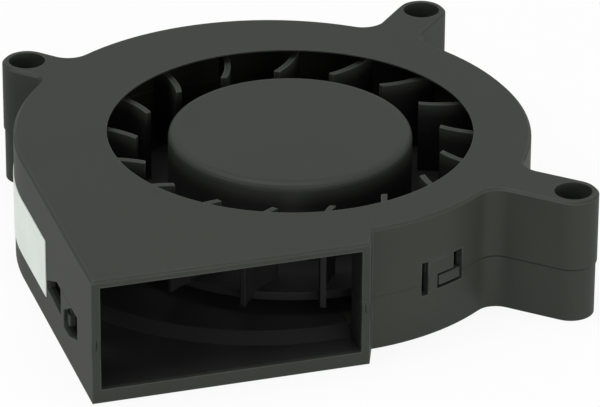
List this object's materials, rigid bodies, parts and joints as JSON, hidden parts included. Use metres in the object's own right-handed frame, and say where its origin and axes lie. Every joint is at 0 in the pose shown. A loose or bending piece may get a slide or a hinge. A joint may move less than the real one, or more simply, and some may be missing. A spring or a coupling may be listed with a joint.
{
  "type": "dc blower fan",
  "caption": "Flat centrifugal blower: dark scroll housing, round inlet on top, rectangular side outlet, drilled ears and a bladed rotor on a brushless motor.",
  "frame": {"origin": "the rotor axis where it meets the bottom face", "axes": "+Z along the rotor axis, up through the inlet; -Y out of the outlet; +X to its right"},
  "size_m": [0.06, 0.0595, 0.015],
  "materials": {
    "housing": "fine matt moulded PBT, charcoal black",
    "impeller": "smooth matt moulded PBT, charcoal black",
    "label": "satin white film, left blank",
    "yoke_steel": "drawn zinc plated steel",
    "magnet": "bonded ferrite",
    "shaft_steel": "ground stainless steel",
    "bush_brass": "turned brass",
    "sintered_bronze": "sintered bronze, oil filled",
    "washer": "natural acetal",
    "seal": "oil resistant rubber",
    "core_steel": "stacked electrical steel sheets",
    "insulator": "natural nylon",
    "winding": "enamelled copper wire",
    "board": "green solder mask on glass epoxy",
    "chip": "moulded epoxy",
    "capacitor": "fired ceramic chip",
    "solder": "tinned metal"
  },
  "bodies": {
    "housing": {"upper_cover": "housing", "lower_case": "housing", "side_label": "label", "bearing_tube": "bush_brass", "sleeve_bearing": "sintered_bronze", "thrust_disc": "washer", "oil_seal": "seal", "stator_core": "core_steel", "upper_insulator": "insulator", "lower_insulator": "insulator", "coil_1": "winding", "coil_2": "winding", "coil_3": "winding", "coil_4": "winding", "winding_pins": "solder", "circuit_board": "board", "driver_chip": "chip", "hall_sensor": "chip", "capacitors": "capacitor", "resistors": "chip", "lead_pads": "solder"},
    "rotor": {"impeller": "impeller", "rotor_yoke": "yoke_steel", "ring_magnet": "magnet", "shaft": "shaft_steel", "hub_bush": "bush_brass", "slinger_washer": "washer", "retaining_ring": "shaft_steel"}
  },
  "joints": [
    {"name": "rotor_spin", "type": "hinge", "parent": "housing", "child": "rotor", "pos_m": [0, 0, 0], "axis": [0, 0, 1], "continuous": true}
  ]
}
